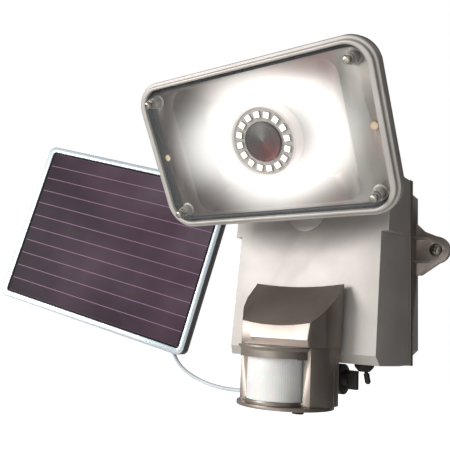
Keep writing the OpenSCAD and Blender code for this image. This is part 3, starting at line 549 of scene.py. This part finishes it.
def copies(name, source_mesh, finish, frame_matrix, body, stands_for=(), ring=None, grid=None):
    """Copies of a form round a ring (count, radius) or at the corners of a grid (width, height), as one mesh.

    The tree has named inputs for its sizes, and ends in Realize Instances and Set Material."""
    source = in_scene(name + "_source", source_mesh)
    tree = bpy.data.node_groups.new(name + "_tree", "GeometryNodeTree")
    tree.interface.new_socket("Geometry", in_out="OUTPUT", socket_type="NodeSocketGeometry")
    sizes = {"Count": ring[0], "Radius": ring[1]} if ring else {"Width": grid[0], "Height": grid[1]}
    for label in sizes:
        kind = "NodeSocketInt" if label == "Count" else "NodeSocketFloat"
        tree.interface.new_socket(label, in_out="INPUT", socket_type=kind)
    given = add(tree, "NodeGroupInput")
    form = add(tree, "GeometryNodeObjectInfo", {"Object": source})
    if ring:
        points = add(tree, "GeometryNodeMeshCircle", {
            "Vertices": given.outputs["Count"], "Radius": given.outputs["Radius"]})
        where = add(tree, "GeometryNodeInputPosition")
        turned = add(tree, "FunctionNodeAlignRotationToVector", {"Vector": where.outputs[0]}, axis="X")
        placed = add(tree, "GeometryNodeInstanceOnPoints", {
            "Points": points.outputs["Mesh"], "Instance": form.outputs["Geometry"],
            "Rotation": turned.outputs[0]})
    else:
        # A grid with no height lays its two rows in the same place
        points = add(tree, "GeometryNodeMeshGrid", {
            "Size X": given.outputs["Width"], "Size Y": given.outputs["Height"],
            "Vertices X": 2, "Vertices Y": 2})
        placed = add(tree, "GeometryNodeInstanceOnPoints", {
            "Points": points.outputs["Mesh"], "Instance": form.outputs["Geometry"]})
    real = add(tree, "GeometryNodeRealizeInstances", {"Geometry": placed.outputs[0]})
    painted = add(tree, "GeometryNodeSetMaterial", {"Geometry": real.outputs[0], "Material": finish})
    add(tree, "NodeGroupOutput", {"Geometry": painted.outputs[0]})
    holder = in_scene(name + "_holder", bpy.data.meshes.new(name + "_empty"))
    modifier = holder.modifiers.new("copies", "NODES")
    modifier.node_group = tree
    for item in tree.interface.items_tree:
        if item.in_out == "INPUT":
            modifier[item.identifier] = sizes[item.name]
    mesh = evaluated_mesh(holder)
    bpy.data.objects.remove(holder)
    bpy.data.objects.remove(source)
    # The tree lays its copies in the XY plane, and the pieces face along -Y
    mesh.transform(frame_matrix @ Matrix.Rotation(math.radians(90), 4, "X"))
    smooth_by_angle(mesh)
    return piece_from(name, mesh, body, finish, *stands_for)


def cross_head_screw(head_r, head_h, shaft_r, length):
    """A pan-head screw with a cross recess, along -Z from its head at z = 0, in millimetres."""
    dome = [(0, head_h * 0.95), (head_r * 0.35, head_h * 0.93), (head_r * 0.7, head_h * 0.78),
            (head_r * 0.93, head_h * 0.45), (head_r, head_h * 0.15), (head_r * 0.97, 0),
            (shaft_r, 0), (shaft_r, -length * 0.85), (0, -length)]
    shape = spun(dome, 40)
    shape.transform(Matrix.Rotation(math.radians(90), 4, "X"))
    screw = in_scene("screw_rough", shape)
    cutters = []
    for turn in (0, 90):
        form = bmesh.new()
        bmesh.ops.create_cube(form, size=1)
        mesh = mesh_of(form, "slot")
        mesh.transform(Matrix.Rotation(math.radians(turn + 20), 4, "Z") @ Matrix.Translation(
            (0, 0, head_h * MM * 0.85)) @ Matrix.Diagonal(
            (head_r * 1.15 * MM, head_r * 0.26 * MM, head_h * 0.9 * MM, 1)))
        cutter = in_scene("slot", mesh)
        cut = screw.modifiers.new("slot", "BOOLEAN")
        cut.operation = "DIFFERENCE"
        cut.solver = "EXACT"
        cut.object = cutter
        cutters.append(cutter)
    done = evaluated_mesh(screw)
    for made in cutters + [screw]:
        bpy.data.objects.remove(made)
    return done


def rounded_block(width, height, depth, edge):
    """A block with rounded edges, centred, in millimetres."""
    form = bmesh.new()
    bmesh.ops.create_cube(form, size=1)
    bmesh.ops.scale(form, vec=(width * MM, height * MM, depth * MM), verts=form.verts)
    bmesh.ops.bevel(form, geom=form.edges[:], offset=edge * MM, segments=2, affect="EDGES", profile=0.5)
    mesh = mesh_of(form, "block")
    return mesh


# ---------- cords ----------

def unit_steps(points, per_span):
    """A smooth line through the points, with a number of steps in each span."""
    line = []
    for i in range(len(points) - 1):
        a, b, c, d = (points[max(i - 1, 0)], points[i], points[i + 1], points[min(i + 2, len(points) - 1)])
        for k in range(per_span):
            t = k / per_span
            line.append(0.5 * (2 * b + (c - a) * t + (2 * a - 5 * b + 4 * c - d) * t ** 2
                               + (3 * b - a - 3 * c + d) * t ** 3))
    return line + [points[-1]]


def tube(path, diameter, sides=10):
    """A closed tube along a path, with rings that don't twist."""
    form = bmesh.new()
    rings = []
    side = None
    for i, point in enumerate(path):
        along = (path[min(i + 1, len(path) - 1)] - path[max(i - 1, 0)]).normalized()
        if side is None:
            side = along.orthogonal().normalized()
        side = (side - along * side.dot(along)).normalized()
        other = along.cross(side)
        rings.append([form.verts.new(point + (side * math.cos(2 * math.pi * k / sides)
                                              + other * math.sin(2 * math.pi * k / sides)) * diameter / 2)
                      for k in range(sides)])
    for first, second in zip(rings, rings[1:]):
        for k in range(sides):
            n = (k + 1) % sides
            form.faces.new((first[k], first[n], second[n], second[k]))
    form.faces.new(list(reversed(rings[0])))
    form.faces.new(rings[-1])
    bmesh.ops.recalc_face_normals(form, faces=form.faces)
    mesh = mesh_of(form, "tube")
    smooth_by_angle(mesh, 60)
    return mesh


CORD_D = 3.6 * MM
PITCH = 3.65 * MM
COIL_R = 23.5 * MM
LAYERS, RINGS = 4, 7
# Degrees: where a turn starts, one step of it, and its last part, which moves to the next place
COIL_START, COIL_STEP, SHIFT = 20, 12, 70
# The coil's middle in the bracket's frame, along Y and Z
COIL_Y, COIL_Z = -0.0165, -0.0046
# Steps in each span of a cord's line
CORD_STEPS = 4
# Points on the cord, in millimetres: RUN in the light's frame and TAIL in the bracket's
RUN = [(-40, -34, -91.5), (-40.5, -34, -96), (-43.5, -34.5, -100.5), (-50, -35.5, -103.5),
       (-62, -37.5, -105), (-78, -39, -106), (-95, -40, -105.5), (-114, -40, -102.5), (-132, -39, -97),
       (-148, -35, -90), (-162, -29.5, -79), (-173, -25.5, -64), (-180, -23.5, -46), (-185, -22.5, -26),
       (-188, -22, -3), (-189, -21.2, 19)]
TAIL = [(-26, -20, -32.6), (-19, -20.5, -38.5), (-12, -22, -46), (-6, -26, -57), (-2.5, -33, -69),
        (-0.8, -41, -76.5), (0, -47, -77), (0, -49.3, -72.5), (0, -49, -67)]


def coil_path():
    """Turns of the coil behind the panel, from the outside in, four beside each other in each ring.

    Each turn keeps its place until its last part, where it moves over to the next one."""
    spots = [(ring, layer if ring % 2 == 0 else LAYERS - 1 - layer)
             for ring in range(RINGS) for layer in range(LAYERS)]
    path = []
    for index, (ring, layer) in enumerate(spots):
        next_ring, next_layer = spots[min(index + 1, len(spots) - 1)]
        for step in range(0, 360, COIL_STEP):
            t = max(0.0, (step - (360 - SHIFT)) / SHIFT)
            t = t * t * (3 - 2 * t)
            radius = COIL_R + ((RINGS - 1) / 2 - ring - (next_ring - ring) * t) * PITCH
            depth = (layer + (next_layer - layer) * t - (LAYERS - 1) / 2) * PITCH
            angle = math.radians(step + COIL_START)
            path.append(ARM @ Vector((radius * math.cos(angle), COIL_Y + depth,
                                      COIL_Z + radius * math.sin(angle))))
    return path


def make_cords():
    """The cord from the housing to the coil and its turns, then its tail to the panel."""
    run = unit_steps([Vector(p) * MM for p in RUN], CORD_STEPS)
    turns = coil_path()
    # The run reaches the coil from outside and slips into the first turn
    halfway = run[-1] * 0.45 + turns[1] * 0.55 + Vector((0.0012, 0, 0.002))
    lead_steps = 3
    # The first span is already in the run, and the last point in the turns
    lead = unit_steps([run[-2], run[-1], halfway, turns[3]], lead_steps)[lead_steps:-1]
    path = run[:-1] + lead + turns[3:]
    cord = in_scene("panel_cord", tube(path, CORD_D))
    cord.data.materials.append(cord_jacket)
    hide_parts("cord_run", "cord_coil")
    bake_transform(cord)
    tail = unit_steps([ARM @ (Vector(p) * MM) for p in TAIL], CORD_STEPS)
    end = in_scene("panel_cord_tail", tube(tail, CORD_D))
    end.data.materials.append(cord_jacket)
    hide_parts("cord_tail")
    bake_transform(end)


# ---------- the light's own pieces ----------

def make_visor():
    """The sensor's hood, whose sloping top sags a little between its sides."""
    mesh = merged_copy("sensor_visor", dissolve=False)
    form = bmesh.new()
    form.from_mesh(mesh)
    bmesh.ops.dissolve_limit(form, angle_limit=math.radians(1), verts=form.verts, edges=form.edges)
    # Millimetres: the hood's half width, the space between cuts, and how far its top sags
    hood_half_w, cut_every, sag = 36, 3, 2.6
    # The sag grows over a height, and so does the half width that it spans
    sag_from, sag_over = -57, 10
    slope_from, slope_over = -45, 30
    low_half_w, high_half_w = 28, 38.8
    for cut in range(-hood_half_w, hood_half_w + 1, cut_every):
        bmesh.ops.bisect_plane(form, geom=form.verts[:] + form.edges[:] + form.faces[:],
                               plane_co=(cut * MM, 0, 0), plane_no=(1, 0, 0))
    for vert in form.verts:
        x, z = vert.co.x / MM, vert.co.z / MM
        high = min(max((z - sag_from) / sag_over, 0), 1)
        half = low_half_w + (high_half_w - low_half_w) * min(max((z - slope_from) / slope_over, 0), 1)
        vert.co.z -= sag * MM * high * max(0.0, 1 - (x / half) ** 2)
    form.to_mesh(mesh)
    form.free()
    done = bevelled(mesh, 0.5, 2, 20)
    smooth_by_angle(done, 16)
    piece_from("sensor_hood", done, "sensor", umber_lacquer, "sensor_visor")


def make_window():
    """The sensor's milky window: flat upright facets round a half cylinder, with a thin wall."""
    facets, reach = 36, math.radians(98)
    outer, inner, low, high = 22.2, 21.0, -100.4, -70.3
    form = bmesh.new()
    columns = []
    for k in range(facets + 1):
        a = -reach + 2 * reach * k / facets
        column = []
        for radius, z in ((outer, low), (outer, high), (inner, high), (inner, low)):
            column.append(form.verts.new((
                radius * MM * math.sin(a), (LENS_Y - radius * math.cos(a)) * MM, z * MM)))
        columns.append(column)
    for first, second in zip(columns, columns[1:]):
        for k in range(4):
            n = (k + 1) % 4
            form.faces.new((first[k], second[k], second[n], first[n]))
    form.faces.new(columns[0])
    form.faces.new(list(reversed(columns[-1])))
    bmesh.ops.recalc_face_normals(form, faces=form.faces)
    mesh = mesh_of(form, "window")
    smooth_by_angle(mesh, 3)
    piece_from("sensor_window", mesh, "sensor", milky, "fresnel_lens")


# Millimetres: the LEDs' ring and its depth behind the face, and the screws' spacing on each cover
LED_COUNT, LED_RING_R, LED_BACK = 16, 20.3, 21.4
WALL_SCREWS_W = 172
LENS_SCREWS_W, LENS_SCREWS_H = 166, 90
COVER_SCREWS_W, COVER_SCREWS_H = 124, 116
PANEL_SCREWS_W, PANEL_SCREWS_H = 170, 120


def make_lamp():
    """The LED ring with its cup, the lacquered sleeves round the lens screws, and the dark cap."""
    package = rounded_block(5.0, 5.0, 1.4, 0.25)
    package.transform(Matrix.Translation((0, 0, 0.7 * MM)))
    window = rounded_block(4.0, 4.0, 0.5, 0.2)
    window.transform(Matrix.Translation((0, 0, 1.5 * MM)))
    ring = HEAD @ Matrix.Translation((0, LED_BACK * MM, 0))
    copies("led_packages", package, white_mask, ring, "lamp_head", ("led_chips",),
           ring=(LED_COUNT, LED_RING_R * MM))
    copies("led_windows", window, phosphor, ring, "lamp_head", ring=(LED_COUNT, LED_RING_R * MM))
    cup = spun([(25.5, 21.4), (25.5, 20.2), (25.8, 19.8), (26.6, 19.8), (27.0, 20.3), (27.4, 32.0),
                (28.2, 32.7), (28.2, 33.1), (25.5, 33.1)], 96, closed=True)
    cup.transform(HEAD)
    piece_from("led_cup", cup, "lamp_head", plating)
    sleeve = spun([(3.35, 8), (3.7, 7.8), (3.9, 8.2), (4.3, 15.2), (5.4, 16.1), (3.35, 16.1)],
                  40, closed=True)
    half_w, half_h = LENS_SCREWS_W / 2, LENS_SCREWS_H / 2
    spots = [HEAD @ Matrix.Translation((x * MM, 0, z * MM))
             for x in (-half_w, half_w) for z in (-half_h, half_h)]
    sleeves = joined(*[(sleeve, spot) for spot in spots])
    piece_from("lens_screw_sleeves", sleeves, "lamp_head", silver_lacquer)
    cap = spun([(0, 19.9), (5, 19.75), (10, 19.4), (13.6, 19.0), (14.6, 19.1), (15.0, 19.6), (15.0, 21.3),
                (10, 21.4), (10, 22.9), (0, 22.9)], 96)
    cap.transform(HEAD)
    piece_from("lamp_cap", cap, "lamp_head", dark_chrome, "mirror_cap")


def make_screws():
    """Every screw whose head shows."""
    wall = cross_head_screw(5.0, 3.0, 2.55, 26)
    copies("wall_screw_pair", wall, zinc_steel, Matrix.Translation((0, -4 * MM, 18.5 * MM)), "fixture",
           ("wall_screws",), grid=(WALL_SCREWS_W * MM, 0))
    lens = cross_head_screw(3.0, 2.1, 1.5, 11)
    copies("lens_screw_set", lens, zinc_steel, HEAD @ Matrix.Translation((0, 2.95 * MM, 0)), "lamp_head",
           ("lens_screws",), grid=(LENS_SCREWS_W * MM, LENS_SCREWS_H * MM))
    cover = cross_head_screw(2.9, 1.9, 1.5, 30)
    turned = Matrix.Translation((0, -7.95 * MM, 0)) @ Matrix.Rotation(math.pi, 4, "Z")
    copies("cover_screw_set", cover, zinc_steel, turned, "fixture", ("housing_screws",),
           grid=(COVER_SCREWS_W * MM, COVER_SCREWS_H * MM))
    back = cross_head_screw(2.8, 1.9, 1.5, 7)
    turned = PANEL @ Matrix.Translation((0, 13.05 * MM, 0)) @ Matrix.Rotation(math.pi, 4, "Z")
    copies("panel_screw_set", back, zinc_steel, turned, "panel", ("panel_screws",),
           grid=(PANEL_SCREWS_W * MM, PANEL_SCREWS_H * MM))


def paint_cad():
    """Finishes for the CAD nodes that show as they are, or that lie inside."""
    plan = {
        zinc_steel: ("board_screws", "yoke_nut", "head_hinge_bolt", "head_hinge_nut", "sensor_arm_nut",
                     "sensor_bolt", "infrared_detector", "flange_screws", "bracket_pin", "bracket_bolt"),
        nitrile: ("housing_gasket", "lens_gasket"),
        black_abs: ("battery_holder", "board_parts", "switch_body"),
        cell_sleeve: ("battery_cells",),
        green_mask: ("control_board", "sensor_board"),
        white_mask: ("led_board",),
        cast_aluminium: ("led_heatsink",),
        nylon: ("reflector_pins",),
        clear_lens: ("head_lens",),
        solar_film: ("solar_glass",),
    }
    for finish, names in plan.items():
        for name in names:
            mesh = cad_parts[name].data
            mesh.materials.clear()
            mesh.materials.append(finish)


def make_covers():
    """Moulded and turned pieces with their edges rounded."""
    softened("front_cover", "fixture", silver_lacquer, 0.8, 3)
    softened("rear_cover", "fixture", umber_lacquer, 0.6)
    softened("head_boss", "fixture", silver_lacquer, 0.4)
    softened("switch_boot", "fixture", nitrile, 0.4)
    softened("cord_gland", "fixture", umber_lacquer, 0.4)
    softened("strain_relief", "fixture", nitrile, 0.2)
    softened("bracket_flange", "fixture", black_abs, 0.8)
    softened("switch_lever", "switch", black_abs, 0.3)
    softened("head_yoke", "head_swivel", umber_lacquer, 0.8)
    softened("head_shell", "lamp_head", umber_lacquer, 0.8)
    softened("head_bezel", "lamp_head", silver_lacquer, 1.0, 3)
    softened("reflector", "lamp_head", plating, 0.4)
    softened("sensor_arm", "sensor_post", umber_lacquer, 0.6)
    softened("sensor_front", "sensor", umber_lacquer, 0.5)
    softened("sensor_rear", "sensor", umber_lacquer, 0.6)
    softened("sensor_base", "sensor", umber_lacquer, 0.9, 3)
    softened("sensor_knob", "clamp_knob", black_abs, 0.8)
    softened("range_dial", "range_control", black_abs, 0.3)
    softened("timer_dial", "timer_control", black_abs, 0.3)
    softened("light_dial", "light_control", black_abs, 0.3)
    softened("bracket_arm", "bracket", black_abs, 0.8)
    softened("cord_tie", "bracket", black_abs, 0.3)
    softened("bracket_knob", "tilt_knob", black_abs, 0.6)
    softened("panel_tray", "panel", tray_polypropylene, 1.2, 3)
    rim = softened("panel_frame", "panel", frame_enamel, 0.6, 3).data
    # Only the frame's front is enamelled: its outer edge is left dark
    rim.materials.append(tray_polypropylene)
    to_panel = PANEL.inverted().to_3x3()
    for face in rim.polygons:
        facing = to_panel @ face.normal
        outwards = PANEL.inverted() @ face.center
        if facing.y > -0.35 and facing.x * outwards.x + facing.z * outwards.z > 0:
            face.material_index = 1
    softened("junction_box", "panel", black_abs, 0.8)


make_camera()
make_studio()
paint_cad()
make_covers()
make_cords()
make_visor()
make_window()
make_lamp()
make_screws()
